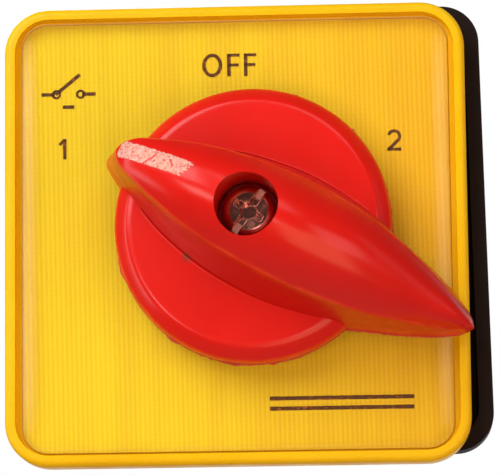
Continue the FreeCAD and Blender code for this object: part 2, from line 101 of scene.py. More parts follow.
def face_front(mesh):
    """Turn every face's normal towards the front, -Y."""
    bm = bmesh.new()
    bm.from_mesh(mesh)
    for face in bm.faces:
        if face.normal.y > 0:
            face.normal_flip()
    bm.to_mesh(mesh)
    bm.free()


def turned(x, z, degrees):
    """Turn a point about the Y axis, counter-clockwise as the user sees it."""
    a = math.radians(degrees)
    return x * math.cos(a) - z * math.sin(a), x * math.sin(a) + z * math.cos(a)


def on_plate(x, z):
    """Millimetres on the front plate to the frame shared with the CAD."""
    px, pz = turned(x, z, PLATE_TURN)
    return px + PLATE_DX, pz + PLATE_DZ


def off_plate(x, z):
    """The reverse of on_plate."""
    return turned(x - PLATE_DX, z - PLATE_DZ, -PLATE_TURN)


def on_lever(u, v):
    """Millimetres along and across the lever to the frame shared with the CAD."""
    return turned(u, v, LEVER_TURN)


def between(a, b, t):
    """The point a share t of the way from a to b."""
    return a[0] + (b[0] - a[0]) * t, a[1] + (b[1] - a[1]) * t


def clamped(value):
    """The value, kept between 0 and 1."""
    return min(max(value, 0.0), 1.0)


def table_value(table, x):
    """Smooth value at x from (x, value) rows that rise in x."""
    if x <= table[0][0]:
        return table[0][1]
    if x >= table[-1][0]:
        return table[-1][1]
    for i in range(len(table) - 1):
        x0, y0 = table[i]
        x1, y1 = table[i + 1]
        if x0 <= x <= x1:
            break

    def slope(j):
        """Slope at row j, from its neighbours."""
        before, after = table[max(j - 1, 0)], table[min(j + 1, len(table) - 1)]
        return (after[1] - before[1]) / (after[0] - before[0])

    # cubic between the two rows
    h = x1 - x0
    t = (x - x0) / h
    a = 2 * t ** 3 - 3 * t ** 2 + 1
    b = t ** 3 - 2 * t ** 2 + t
    c = -2 * t ** 3 + 3 * t ** 2
    d = t ** 3 - t ** 2
    return a * y0 + b * h * slope(i) + c * y1 + d * h * slope(i + 1)


# ---------------------------------------------------------------------------
# Materials
# ---------------------------------------------------------------------------

WAVE_SCALE = 0.3141593          # a wave texture's scale for one rib per metre
RIB_PITCH = 0.66                # millimetres
# the groove behind the rim, along Y in metres: the painted glow starts, the painted glow is full
GROOVE = (-0.0118, -0.0104)
GROOVE_GLOW = 0.17
GATE = (6.0, 7.95)              # millimetres along and across the lever
# the pale band inside the cover's left and right edges is a painted highlight
HIGHLIGHT_BAND_ALPHA = 0.23               # the clear cover's pale band where it is strongest
# the floor of the screw's slot lies between these heights, along Y in metres
SLOT_FLOOR_FROM = (-0.0270, -0.0268)
SLOT_FLOOR_TO = (-0.0263, -0.0261)


class Shader:
    """A node material with object coordinates at hand."""

    def __init__(self, name):
        self.mat = bpy.data.materials.new(name)
        self.mat.use_nodes = True
        self.nodes = self.mat.node_tree.nodes
        self.links = self.mat.node_tree.links
        self.bsdf = self.nodes["Principled BSDF"]
        self.coords = self.nodes.new("ShaderNodeTexCoord").outputs["Object"]

    def link(self, a, b):
        """Link socket a to socket b."""
        self.links.new(a, b)

    def set(self, **values):
        """Give the shader's own sockets fixed values."""
        for key, value in values.items():
            self.bsdf.inputs[key.replace("_", " ")].default_value = value

    def feed(self, name, socket):
        """Link a socket to one of the shader's own."""
        self.link(socket, self.bsdf.inputs[name])

    def fed_by(self, name):
        """The socket that now feeds one of the shader's own."""
        return self.bsdf.inputs[name].links[0].from_socket

    def along(self, axis, vector=None):
        """One coordinate of a vector, which is the place on the object unless given."""
        node = self.nodes.new("ShaderNodeSeparateXYZ")
        self.link(self.coords if vector is None else vector, node.inputs["Vector"])
        return node.outputs[axis]

    def normal(self):
        """The surface's normal."""
        return self.nodes.new("ShaderNodeNewGeometry").outputs["Normal"]

    def attribute(self, name):
        """A value stored on the mesh's points."""
        node = self.nodes.new("ShaderNodeAttribute")
        node.attribute_name = name
        return node.outputs["Fac"]

    def distance(self, place):
        """How far each point is from a place, in metres."""
        node = self.nodes.new("ShaderNodeVectorMath")
        node.operation = "DISTANCE"
        self.link(self.coords, node.inputs[0])
        node.inputs[1].default_value = place
        return node.outputs["Value"]

    def noise(self, scale, detail=3.0, rough=0.5, stretch=None):
        """Noise of about scale specks per metre, stretched by factors along the axes."""
        node = self.nodes.new("ShaderNodeTexNoise")
        node.inputs["Scale"].default_value = scale
        node.inputs["Detail"].default_value = detail
        node.inputs["Roughness"].default_value = rough
        vector = self.coords
        if stretch:
            mapping = self.nodes.new("ShaderNodeMapping")
            mapping.inputs["Scale"].default_value = stretch
            self.link(vector, mapping.inputs["Vector"])
            vector = mapping.outputs["Vector"]
        self.link(vector, node.inputs["Vector"])
        return node.outputs["Fac"]

    def bands(self, direction, pitch_mm):
        """Parallel ribs across one axis, with the given pitch."""
        node = self.nodes.new("ShaderNodeTexWave")
        node.wave_type = "BANDS"
        node.bands_direction = direction
        node.inputs["Scale"].default_value = WAVE_SCALE / (pitch_mm * MM)
        node.inputs["Distortion"].default_value = 0.0
        self.link(self.coords, node.inputs["Vector"])
        return node.outputs["Fac"]

    def ramp(self, value, stops):
        """Colour for a value, from (value, colour) stops."""
        node = self.nodes.new("ShaderNodeValToRGB")
        ramp = node.color_ramp
        while len(ramp.elements) < len(stops):
            ramp.elements.new(0.5)
        for element, (place, colour) in zip(ramp.elements, stops):
            element.position = place
            element.color = (*colour, 1.0)
        self.link(value, node.inputs["Fac"])
        return node.outputs["Color"]

    def mix(self, factor, a, b):
        """Socket a where the factor is 0, and b, a socket or a colour, where it is 1."""
        node = self.nodes.new("ShaderNodeMix")
        node.data_type = "RGBA"
        self.link(factor, node.inputs["Factor"])
        self.link(a, node.inputs["A"])
        if isinstance(b, tuple):
            node.inputs["B"].default_value = (*b, 1.0)
        else:
            self.link(b, node.inputs["B"])
        return node.outputs["Result"]

    def remap(self, value, low, high, from_low=0.0, from_high=1.0):
        """Stretch from_low..from_high to low..high, and clamp what lies outside."""
        node = self.nodes.new("ShaderNodeMapRange")
        node.inputs["From Min"].default_value = from_low
        node.inputs["From Max"].default_value = from_high
        node.inputs["To Min"].default_value = low
        node.inputs["To Max"].default_value = high
        self.link(value, node.inputs["Value"])
        return node.outputs["Result"]

    def math(self, kind, a, b):
        """Combine two values, each a socket or a number."""
        node = self.nodes.new("ShaderNodeMath")
        node.operation = kind
        for socket, value in zip(node.inputs, (a, b)):
            if isinstance(value, (int, float)):
                socket.default_value = value
            else:
                self.link(value, socket)
        return node.outputs["Value"]

    def weighted(self, first, *others):
        """Sum of (socket, weight) terms."""
        term = self.math("MULTIPLY", *first)
        return self.math("ADD", term, self.weighted(*others)) if others else term

    def bump(self, height, strength, distance, below=None):
        """Normal bent by a height, over the normal below it."""
        node = self.nodes.new("ShaderNodeBump")
        node.inputs["Strength"].default_value = strength
        node.inputs["Distance"].default_value = distance
        self.link(height, node.inputs["Height"])
        if below is not None:
            self.link(below, node.inputs["Normal"])
        return node.outputs["Normal"]


def plastic(name, light, dark, rough, grain=2600.0, wave=140.0, depth=0.00001):
    """Moulded plastic: mottled colour, uneven gloss and a fine grain."""
    s = Shader(name)
    s.feed("Base Color", s.ramp(s.noise(wave, 4.0, 0.6), [(0.3, dark), (0.7, light)]))
    s.feed("Roughness", s.remap(s.noise(wave * 3, 3.0), rough - 0.06, rough + 0.06, 0.3, 0.7))
    wavy = s.bump(s.noise(wave * 1.5, 2.0), 0.25, depth * 4)
    s.feed("Normal", s.bump(s.noise(grain, 2.0), 0.5, depth, wavy))
    return s


def metal(name, light, dark, rough):
    """Metal with stained colour, uneven gloss and a fine grain."""
    s = Shader(name)
    s.set(Metallic=1.0)
    s.feed("Base Color", s.ramp(s.noise(320.0, 4.0, 0.6), [(0.3, dark), (0.7, light)]))
    s.feed("Roughness", s.remap(s.noise(900.0), rough - 0.08, rough + 0.1, 0.3, 0.7))
    s.feed("Normal", s.bump(s.noise(1800.0), 0.3, 0.00001))
    return s


def red_plastic():
    """The handle's glossy red, with painted orange highlight lines on its shoulders and the
    smudge of its gate.
    """
    s = plastic("red_moulded_plastic", (0.575, 0.0085, 0.0045), (0.515, 0.0065, 0.003), 0.34,
                grain=1900.0, wave=90.0, depth=0.000004)
    s.set(Specular_IOR_Level=0.06, Coat_Weight=0.45, Coat_Roughness=0.22)
    # painted highlight: thin orange lines along the moulding's shoulders and disc rim, standing
    # in for reflections of the yellow plate
    breaks = s.remap(s.noise(240.0, 3.0, 0.6), 0.15, 0.55, 0.40, 0.60)
    wear_and_edge_highlight = s.math("MULTIPLY", s.attribute("shoulder"), breaks)
    body = s.mix(wear_and_edge_highlight, s.fed_by("Base Color"), (0.78, 0.085, 0.02))
    # a brown smudge where the moulding's gate was broken off
    gate_x, gate_z = on_lever(*GATE)
    away = s.distance((gate_x * MM, (DISC_FACE_Y - 0.2) * MM, gate_z * MM))
    ragged = s.math("ADD", away, s.math("MULTIPLY", s.noise(1300.0, 3.0, 0.7), 0.0012))
    smudge = s.remap(ragged, 0.75, 0.0, 0.0008, 0.0017)
    s.feed("Base Color", s.mix(smudge, body, (0.10, 0.045, 0.025)))
    return s


def yellow_plastic():
    """The frame's yellow. Emission paints a glow in the groove that stands in for light passing
    through its thin rim.
    """
    s = plastic("yellow_moulded_plastic", (0.70, 0.420, 0.004), (0.65, 0.375, 0.003), 0.32,
                grain=2200.0, wave=60.0)
    s.set(Specular_IOR_Level=0.12, Subsurface_Weight=0.3, Subsurface_Scale=0.0012,
          Subsurface_Radius=(1.0, 0.5, 0.05), Emission_Color=(0.9, 0.34, 0.0, 1.0))
    # painted glow: the groove gives off light of its own
    s.feed("Emission Strength", s.remap(s.along("Y"), 0.0, GROOVE_GLOW, *GROOVE))
    return s


def legend_plastic():
    """The finely ribbed plate, lemon at the left, with painted shade turning it orange towards
    the right middle.
    """
    s = Shader("ribbed_yellow_legend")
    weave = s.weighted((s.bands("X", RIB_PITCH), 0.66), (s.bands("Z", RIB_PITCH), 0.34))
    streaks = s.noise(330.0, 3.0, 0.6, (1.0, 1.0, 0.05))
    tone = s.weighted((weave, 0.34), (streaks, 0.44), (s.noise(55.0), 0.16),
                      (s.noise(1500.0, 2.0), 0.06))
    lemon = s.ramp(tone, [(0.36, (0.575, 0.385, 0.002)), (0.64, (0.655, 0.500, 0.004))])
    shaded_amber = s.ramp(tone, [(0.36, (0.54, 0.262, 0.001)), (0.64, (0.63, 0.352, 0.002))])
    # painted shade: orange towards the right middle, where less light falls and the knob shades
    # the plate
    from_middle = s.math("ABSOLUTE", s.along("Z"), 0.0)
    across = s.math("SUBTRACT", s.along("X"), s.math("MULTIPLY", from_middle, 0.55))
    s.feed("Base Color", s.mix(s.remap(across, 0.0, 1.0, -0.030, 0.024), lemon, shaded_amber))
    s.feed("Normal", s.bump(weave, 0.35, 0.00004))
    s.set(Roughness=0.5, Specular_IOR_Level=0.1)
    return s


def clear_plastic():
    """The cover: its flat front is nearly invisible; its rounded edge and a band inside the left
    and right edges are a painted highlight, opaque and pale.
    """
    s = Shader("clear_moulded_cover")
    facing = s.math("ABSOLUTE", s.along("Y", s.normal()), 0.0)
    # painted highlight: the steep faces of the rounded edge turn opaque and pale
    edge = s.remap(facing, 0.30, 0.02, 0.08, 0.90)
    band = s.math("MULTIPLY", s.attribute("side_band"), HIGHLIGHT_BAND_ALPHA)
    s.feed("Alpha", s.math("MAXIMUM", edge, band))
    tint_and_highlight = s.ramp(s.noise(260.0), [(0.3, (0.86, 0.60, 0.24)), (0.7, (0.92, 0.67, 0.29))])
    s.feed("Base Color", tint_and_highlight)
    s.feed("Roughness", s.remap(s.noise(700.0), 0.10, 0.20, 0.3, 0.7))
    s.set(IOR=1.49, Specular_IOR_Level=0.3)
    s.mat.surface_render_method = "BLENDED"
    return s


def printed_ink():
    """Dark brown ink, lighter where it is rubbed thin."""
    s = Shader("printed_ink")
    wear = s.noise(1400.0, 4.0, 0.7)
    s.feed("Base Color", s.ramp(wear, [(0.36, (0.26, 0.070, 0.003)),
                                       (0.48, (0.048, 0.008, 0.002))]))
    s.set(Roughness=0.6, Specular_IOR_Level=0.08)
    return s


def worn_paint():
    """White paint that is stained and flecked by the red below."""
    s = Shader("worn_white_paint")
    flecks = s.noise(2300.0, 4.0, 0.7)
    s.feed("Base Color", s.ramp(flecks, [(0.34, (0.50, 0.06, 0.04)), (0.42, (0.55, 0.22, 0.17)),
                                         (0.70, (0.66, 0.42, 0.36))]))
    s.set(Roughness=0.6, Specular_IOR_Level=0.1)
    s.feed("Normal", s.bump(flecks, 0.4, 0.00003))
    return s


def black_plastic():
    """The base and housings: a dull, finely textured black."""
    s = plastic("black_textured_plastic", (0.011, 0.005, 0.003), (0.007, 0.003, 0.002),
                0.50, grain=1500.0, wave=120.0, depth=0.00003)
    s.set(Specular_IOR_Level=0.08)
    return s


def screw_metal():
    """The handle screw: the floor of its slot is painted paler, a painted reflection, and is
    duller than its smooth top.
    """
    # the metal's red tint is a painted reflection of the red well round the screw
    s = metal("nickel_plated_screw", (0.84, 0.34, 0.26), (0.36, 0.09, 0.06), 0.18)
    depth = s.along("Y")
    flat = s.remap(s.along("Y", s.normal()), 1.0, 0.0, -0.95, -0.85)
    low = s.remap(depth, 0.0, 1.0, *SLOT_FLOOR_FROM)
    deep = s.remap(depth, 1.0, 0.0, *SLOT_FLOOR_TO)
    # painted reflection: the slot's floor is coloured paler where it would catch the light
    floor = s.math("MULTIPLY", s.math("MULTIPLY", flat, low), deep)
    s.feed("Base Color", s.mix(floor, s.fed_by("Base Color"), (0.80, 0.38, 0.30)))
    duller = s.math("MULTIPLY", floor, 0.28)
    s.feed("Roughness", s.math("ADD", s.fed_by("Roughness"), duller))
    # slightly rounded edges catch the light
    rounding = s.nodes.new("ShaderNodeBevel")
    rounding.samples = 6
    rounding.inputs["Radius"].default_value = 0.00022
    grain = s.fed_by("Normal").node
    s.link(rounding.outputs["Normal"], grain.inputs["Normal"])
    return s


SHADERS = {
    "red": red_plastic(),
    "flash": plastic("thin_red_flash", (0.50, 0.014, 0.005), (0.38, 0.006, 0.003), 0.45,
                     grain=1500.0, wave=300.0),
    "yellow": yellow_plastic(),
    "legend": legend_plastic(),
    "clear": clear_plastic(),
    "ink": printed_ink(),
    "paint": worn_paint(),
    "black": black_plastic(),
    "deck": plastic("dark_grey_thermoset", (0.045, 0.043, 0.042), (0.030, 0.028, 0.028), 0.46,
                    grain=1700.0, wave=110.0, depth=0.00002),
    "rubber": plastic("soft_black_rubber", (0.030, 0.029, 0.028), (0.018, 0.017, 0.017), 0.72,
                      grain=1200.0, wave=160.0, depth=0.00003),
    "nylon": plastic("natural_nylon", (0.80, 0.77, 0.66), (0.70, 0.67, 0.56), 0.42),
    "cam": plastic("brown_cam_plastic", (0.36, 0.07, 0.03), (0.27, 0.05, 0.02), 0.40),
    "steel": metal("zinc_plated_steel", (0.72, 0.70, 0.64), (0.50, 0.47, 0.42), 0.30),
    "screw": screw_metal(),
    "spring": metal("spring_steel", (0.55, 0.55, 0.56), (0.38, 0.38, 0.40), 0.28),
    "brass": metal("stamped_brass", (0.80, 0.55, 0.24), (0.62, 0.40, 0.15), 0.30),
}
MAT = {key: shader.mat for key, shader in SHADERS.items()}

# By the start of the CAD node's name; the longest start that fits counts.
NODE_MATERIALS = {
    "base": "black",
    "panel_gasket": "rubber",
    "shaft_bush": "nylon",
    "front_frame": "yellow",
    "legend_plate": "legend",
    "clear_cover": "clear",
    "handle_screw": "screw",
    "spring_washer": "spring",
    "shaft": "steel",
    "latch_housing": "black",
    "star_wheel": "nylon",
    "detent_spring": "spring",
    "deck_housing": "deck",
    "cam": "cam",
    "fixed_contacts": "brass",
    "clamp_washers": "steel",
    "terminal_screws": "steel",
    "plunger": "nylon",
    "bridge": "brass",
    "contact_spring": "spring",
    "rear_cover": "black",
    "tie_bolts": "steel",
    "tie_nuts": "steel",
    "handle": "red",
}


def paint_nodes():
    """Give every CAD node its material."""
    for name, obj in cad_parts.items():
        starts = [start for start in NODE_MATERIALS if name.startswith(start)]
        obj.data.materials.clear()
        obj.data.materials.append(MAT[NODE_MATERIALS[max(starts, key=len)]])


paint_nodes()


# ---------------------------------------------------------------------------
# Front: clear cover
# ---------------------------------------------------------------------------

COVER_HALF_X, COVER_HALF_Z = 29.7, 30.1
COVER_CORNER_R = 3.6
COVER_EDGE = 1.5                # radius of the rounded front edge
COVER_FRONT_Y, COVER_REAR_Y = -12.4, -10.05
COVER_HOLE_R = 10.0
# where the painted highlight band lies inside the left and right edges, and how it fades towards
# the top and bottom, in millimetres
BAND_INSET, BAND_WIDTH, BAND_FADE = 2.9, 1.9, 4.0


def square_ring(half_x, half_z, radius, steps=14, sides=10):
    """Points of a rounded square about the plate's centre, in millimetres."""
    corners = []
    for k, (sx, sz) in enumerate(((1, 1), (-1, 1), (-1, -1), (1, -1))):
        cx, cz = sx * (half_x - radius), sz * (half_z - radius)
        turns = [math.radians(90 * k + 90 * i / steps) for i in range(steps + 1)]
        corners.append([(cx + radius * math.cos(a), cz + radius * math.sin(a)) for a in turns])
    pts = []
    for k, corner in enumerate(corners):
        pts += corner
        following = corners[(k + 1) % 4][0]
        pts += [between(corner[-1], following, i / sides) for i in range(1, sides)]
    return pts


def round_ring(radius, like):
    """Points of a circle in the directions of another ring's points."""
    return [(x / math.hypot(x, z) * radius, z / math.hypot(x, z) * radius) for x, z in like]


def ring_solid(rings, name):
    """Closed skin over (points, y) rings on the plate; the last joins the first."""
    verts, faces = [], []
    count = len(rings[0][0])
    for pts, y in rings:
        for x, z in pts:
            px, pz = on_plate(x, z)
            verts.append((px * MM, y * MM, pz * MM))
    for r in range(len(rings)):
        q = (r + 1) % len(rings)
        for k in range(count):
            n = (k + 1) % count
            faces.append((r * count + k, r * count + n, q * count + n, q * count + k))
    return outward(mesh_from(verts, faces, name))


def mark_side_bands(mesh):
    """Store how strongly each point shows the painted highlight band inside the left and right
    edges.
    """
    band = mesh.attributes.new("side_band", "FLOAT", "POINT")
    for i, vertex in enumerate(mesh.vertices):
        x, z = off_plate(vertex.co.x / MM, vertex.co.z / MM)
        near = clamped((abs(x) - (COVER_HALF_X - BAND_INSET)) / BAND_WIDTH)
        fade = clamped((COVER_HALF_Z - COVER_EDGE - abs(z)) / BAND_FADE)
        if vertex.co.y / MM < COVER_FRONT_Y + COVER_EDGE:
            band.data[i].value = near * near * (3 - 2 * near) * fade


def make_cover():
    """The cover with its rounded edge and the round hole for the handle's collar."""
    front, edge = COVER_FRONT_Y, COVER_EDGE

    def inset(by):
        """The cover's outline, moved inwards."""
        return square_ring(COVER_HALF_X - by, COVER_HALF_Z - by, COVER_CORNER_R - by)

    rim = inset(0.0)
    rings = [(rim, COVER_REAR_Y), (rim, front + edge)]
    for i in range(1, 9):
        a = math.radians(90 * i / 8)
        rings.append((inset(edge * (1 - math.cos(a))), front + edge - edge * math.sin(a)))
    for by in (1.8, 2.2, 2.6, 3.0):
        rings.append((inset(by), front))
    outer, inner = inset(3.3), round_ring(COVER_HOLE_R + 0.3, rim)
    for t in (0.0, 0.15, 0.4, 0.7, 0.9):
        rings.append(([between(a, b, t) for a, b in zip(outer, inner)], front))
    rings.append((round_ring(COVER_HOLE_R + 0.2, rim), front))
    rings.append((round_ring(COVER_HOLE_R, rim), front + 0.2))
    rings.append((round_ring(COVER_HOLE_R, rim), COVER_REAR_Y))
    mesh = ring_solid(rings, "clear_cover_moulding")
    mark_side_bands(mesh)
    smooth_all(mesh, 40)
    piece = new_piece("clear_cover_moulding", mesh, MAT["clear"], "housing")
    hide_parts("clear_cover")


# ---------------------------------------------------------------------------
# Handle
# ---------------------------------------------------------------------------

# Rails of the lever, as (place along the lever, half width or height) rows in
# millimetres. The marked head is at +19 to +22 and the tail at -33.
FOOT_HALF = [(-33.3, 0.0), (-32.6, 1.0), (-31.0, 2.15), (-28.0, 3.7), (-24.0, 5.3),
             (-20.0, 6.6), (-16.0, 8.0), (-12.0, 9.1), (-8.0, 9.8), (-4.0, 10.1), (0.0, 9.8),
             (4.0, 9.2), (8.0, 8.1), (12.0, 6.6), (15.5, 4.8), (18.2, 3.3), (19.4, 2.7),
             (20.4, 2.1), (21.4, 1.4), (22.1, 0.8), (22.4, 0.0)]
TOP_HALF = [(-33.1, 0.0), (-32.3, 0.8), (-31.0, 1.5), (-28.0, 2.8), (-24.0, 4.2), (-20.0, 5.35),
            (-16.0, 6.2), (-12.0, 6.7), (-8.0, 6.95), (-4.0, 6.95), (0.0, 6.7), (4.0, 6.25),
            (8.0, 5.5), (12.0, 4.3), (15.0, 3.25), (17.0, 2.5), (18.3, 1.75), (18.95, 1.15),
            (19.3, 0.6), (19.45, 0.0)]
TOP_RISE = [(-33.1, 1.5), (-31.0, 3.1), (-28.0, 5.0), (-24.0, 7.5), (-20.0, 9.9), (-16.0, 12.2),
            (-12.0, 13.9), (-8.0, 15.0), (-4.0, 15.8), (0.0, 16.4), (4.0, 17.0), (8.0, 17.5),
            (12.0, 17.6), (15.5, 17.4), (17.5, 16.9), (19.45, 15.4)]
CREST_RISE = [(-33.1, 1.7), (-31.0, 4.8), (-28.0, 7.6), (-24.0, 11.0), (-20.0, 14.1),
              (-16.0, 16.9), (-12.0, 19.0), (-8.0, 20.5), (-4.0, 21.3), (0.0, 21.6), (4.0, 21.5),
              (8.0, 21.1), (12.0, 20.2), (15.5, 18.8), (17.5, 17.5), (19.45, 15.5)]
CREST_POWER = 2.15              # how square the crest's dome is across the lever
SHOULDER_R = 0.45               # rounding where the walls meet the crest, at most
THINNEST = 0.02                 # keeps the pointed ends from closing

COLLAR_R = 6.6
COLLAR_REAR_Y = -8.2
WELL_R = 4.25
WELL_FLOOR_Y = -24.0
SCREW_HOLE_R = 2.3
SOCKET_HALF = 4.35              # half the side of the square hole for the shaft
SOCKET_Y = (-20.6, -8.0)
BEYOND_Y = -40.0                # in front of the whole handle

# where the painted orange highlight lines lie on the moulding's shoulders and disc rim, in
# millimetres
SHOULDER_HIGHLIGHT_WIDTH = 0.22
DISC_EDGE_FROM, DISC_EDGE_RISE, DISC_EDGE_HIGHLIGHT = 18.8, 2.5, 0.9

# the flash is a thin wedge: root, tip and root again, at these heights along Y
FLASH_Y = (-13.12, -13.08, -13.02)
FLASH_ROOT_R = 18.7
FLASH_TAIL_FROM, FLASH_TAIL_LENGTH = -17.2, 15.0

FILLET_R = 0.32
FILLET_FROM, FILLET_LENGTH = 14.6, 28.4


def spaced(t):
    """0 to 1, with closer steps near both ends."""
    return 0.5 - 0.5 * math.cos(math.pi * t)


def along_table(table, t):
    """Place a share t of the way down a table, from its last row to its first."""
    return table[-1][0] + (table[0][0] - table[-1][0]) * t


def dome(rise, crest, x):
    """Height of the crest at x, from 0 on the middle line to 1 at the shoulder."""
    return rise + (crest - rise) * (1.0 - x ** CREST_POWER)


def lever_mesh():
    """The lever: closed rings over its walls and crest, from the head to the tail."""
    stations, wall, bend, across = 150, 10, 4, 14
    verts, faces, rows = [], [], []
    for i in range(stations + 1):
        t = spaced(i / stations)
        uf, ut = along_table(FOOT_HALF, t), along_table(TOP_HALF, t)
        wf = max(table_value(FOOT_HALF, uf), THINNEST)
        wt = max(table_value(TOP_HALF, ut), THINNEST)
        rise = table_value(TOP_RISE, ut)
        crest = max(table_value(CREST_RISE, ut), rise + THINNEST)
        radius = min(SHOULDER_R, wt * 0.4, rise * 0.3)
        profile = []
        for k in range(wall):
            s = k / wall
            s = s * (1.0 - radius / max(rise, 1.0))
            profile.append((uf + (ut - uf) * s, wf + (wt - wf) * s, rise * s))
        # a small rounding at the shoulder, then the domed crest
        for k in range(bend):
            s = k / bend
            profile.append((ut, wt - radius * 0.35 * s, rise - radius * 0.6 * (1 - s) ** 1.6))
        edge = wt - radius * 0.35
        for k in range(across + 1):
            x = 1.0 - k / across
            x = math.sin(x * math.pi / 2) * 0.35 + x * 0.65
            profile.append((ut, edge * x, dome(rise, crest, x)))
        ring = profile + [(u, -v, h) for u, v, h in reversed(profile[:-1])]
        row = []
        for u, v, h in ring:
            x, z = on_lever(u, v)
            row.append(len(verts))
            verts.append((x * MM, (HANDLE_Y - h) * MM, z * MM))
        rows.append(row)
    for a, b in zip(rows, rows[1:]):
        for k in range(len(a) - 1):
            faces.append((a[k], b[k], b[k + 1], a[k + 1]))
        faces.append((a[-1], b[-1], b[0], a[0]))
    faces.append(tuple(rows[0]))
    faces.append(tuple(reversed(rows[-1])))
    return mesh_from(verts, faces, "lever")


def lathe(profile, segments, name):
    """Turn (radius, y) points in millimetres about the Y axis. Ends on the axis close it."""
    verts, faces, rows = [], [], []
    for radius, y in profile:
        row = []
        if radius < 1e-6:
            row = [len(verts)] * segments
            verts.append((0.0, y * MM, 0.0))
        else:
            for k in range(segments):
                a = 2 * math.pi * k / segments
                row.append(len(verts))
                verts.append((radius * math.cos(a) * MM, y * MM, radius * math.sin(a) * MM))
        rows.append(row)
    for a, b in zip(rows, rows[1:]):
        for k in range(segments):
            n = (k + 1) % segments
            face = tuple(dict.fromkeys((a[k], a[n], b[n], b[k])))
            if len(face) > 2:
                faces.append(face)
    return outward(mesh_from(verts, faces, name))


def boolean(target, tool_mesh, operation):
    """Apply a boolean to an object and drop the tool."""
    tool = bpy.data.objects.new("tool", tool_mesh)
    bpy.context.scene.collection.objects.link(tool)
    mod = target.modifiers.new("bool", "BOOLEAN")
    mod.operation = operation
    mod.solver = "EXACT"
    mod.object = tool
    bpy.context.view_layer.update()
    depsgraph = bpy.context.evaluated_depsgraph_get()
    result = bpy.data.meshes.new_from_object(target.evaluated_get(depsgraph))
    target.modifiers.clear()
    target.data = result
    bpy.data.objects.remove(tool)


def mark_shoulders(mesh):
    """Store how close each point is to an edge of the moulding that gets a painted orange
    highlight line.
    """
    values = mesh.attributes.new("shoulder", "FLOAT", "POINT")
    for i, vertex in enumerate(mesh.vertices):
        x, y, z = (c / MM for c in vertex.co)
        u, v = turned(x, z, -LEVER_TURN)
        h = HANDLE_Y - y
        rise = table_value(TOP_RISE, u)
        top = table_value(TOP_HALF, u)
        value = 0.0
        if h > 4.0 and -33.0 < u < 19.4:
            value = math.exp(-(math.hypot(abs(v) - top, h - rise) / SHOULDER_HIGHLIGHT_WIDTH) ** 2)
        # painted highlight along the disc's rear rim
        if math.hypot(x, z) > DISC_EDGE_FROM and h < DISC_EDGE_RISE:
            value += DISC_EDGE_HIGHLIGHT
        values.data[i].value = min(value, 1.0)


def make_handle():
    """The red moulding: lever, disc and collar, with the well, screw hole and shaft socket."""
    obj = bpy.data.objects.new("handle_moulding", outward(lever_mesh()))
    bpy.context.scene.collection.objects.link(obj)
    disc = [(0, HANDLE_Y), (18.85, HANDLE_Y), (DISC_R, HANDLE_Y - 0.15), (DISC_R, HANDLE_Y - 1.9),
            (18.9, HANDLE_Y - 2.4), (18.6, HANDLE_Y - 2.85), (17.5, HANDLE_Y - 3.95),
            (17.15, HANDLE_Y - 4.25), (16.8, DISC_FACE_Y + 0.03), (16.4, DISC_FACE_Y),
            (0, DISC_FACE_Y)]
    boolean(obj, lathe(disc, 160, "disc"), "UNION")
    collar = [(0, COLLAR_REAR_Y), (6.4, COLLAR_REAR_Y), (COLLAR_R, -8.4),
              (COLLAR_R, HANDLE_Y - 0.5), (0, HANDLE_Y - 0.5)]
    boolean(obj, lathe(collar, 72, "collar"), "UNION")
    well = [(0, WELL_FLOOR_Y), (4.05, WELL_FLOOR_Y), (4.2, -24.15), (WELL_R, -30.0),
            (WELL_R, BEYOND_Y), (0, BEYOND_Y)]
    boolean(obj, lathe(well, 72, "well"), "DIFFERENCE")
    screw_hole = [(0, -30), (SCREW_HOLE_R, -30), (SCREW_HOLE_R, -16), (0, -16)]
    boolean(obj, lathe(screw_hole, 36, "screw_hole"), "DIFFERENCE")
    corners = [on_lever(su * SOCKET_HALF, sv * SOCKET_HALF)
               for su, sv in ((-1, -1), (1, -1), (1, 1), (-1, 1))]
    verts = [(x * MM, y * MM, z * MM) for y in SOCKET_Y for x, z in corners]
    faces = [(0, 1, 2, 3), (7, 6, 5, 4), (0, 4, 5, 1), (1, 5, 6, 2), (2, 6, 7, 3), (3, 7, 4, 0)]
    boolean(obj, outward(mesh_from(verts, faces, "socket")), "DIFFERENCE")
    mesh = obj.data
    smooth_all(mesh, 28)
    mark_shoulders(mesh)
    bpy.data.objects.remove(obj)
    piece = new_piece("handle_moulding", mesh, MAT["red"], "rotor")
    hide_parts("handle")


def make_flash():
    """Ragged moulding flash round the rear edge of the disc and along the tail."""
    rng = random.Random(31)
    verts, faces = [], []
    count = 720
    bumps = [(rng.uniform(0, 360), rng.uniform(0.5, 3.0), rng.uniform(0.04, 0.24))
             for _ in range(34)]
    for k in range(count):
        degrees = 360.0 * k / count
        out = 0.06 + 0.05 * rng.random()
        for centre, width, size in bumps:
            gap = (degrees - centre + 180) % 360 - 180
            out += size * math.exp(-(gap / width) ** 2)
        a = math.radians(degrees)
        for radius, y in zip((FLASH_ROOT_R, DISC_R + min(out, 0.5), FLASH_ROOT_R), FLASH_Y):
            verts.append((radius * math.cos(a) * MM, y * MM, radius * math.sin(a) * MM))
    for k in range(count):
        n = (k + 1) % count
        for j in range(3):
            m = (j + 1) % 3
            faces.append((3 * k + j, 3 * n + j, 3 * n + m, 3 * k + m))
    start = len(verts)
    steps = 150
    for k in range(steps + 1):
        u = FLASH_TAIL_FROM - FLASH_TAIL_LENGTH * k / steps
        out = table_value(FOOT_HALF, u) + 0.08 + 0.22 * rng.random() ** 2
        for w, y in zip((out - 0.5, out, out - 0.5), FLASH_Y):
            x, z = on_lever(u, max(w, 0.0))
            verts.append((x * MM, y * MM, z * MM))
    for k in range(steps):
        for j in range(3):
            m = (j + 1) % 3
            a, b = start + 3 * k, start + 3 * (k + 1)
            faces.append((a + j, b + j, b + m, a + m))
    mesh = outward(mesh_from(verts, faces, "handle_flash"))
    smooth_all(mesh, 30)
    new_piece("handle_flash", mesh, MAT["flash"], "rotor")


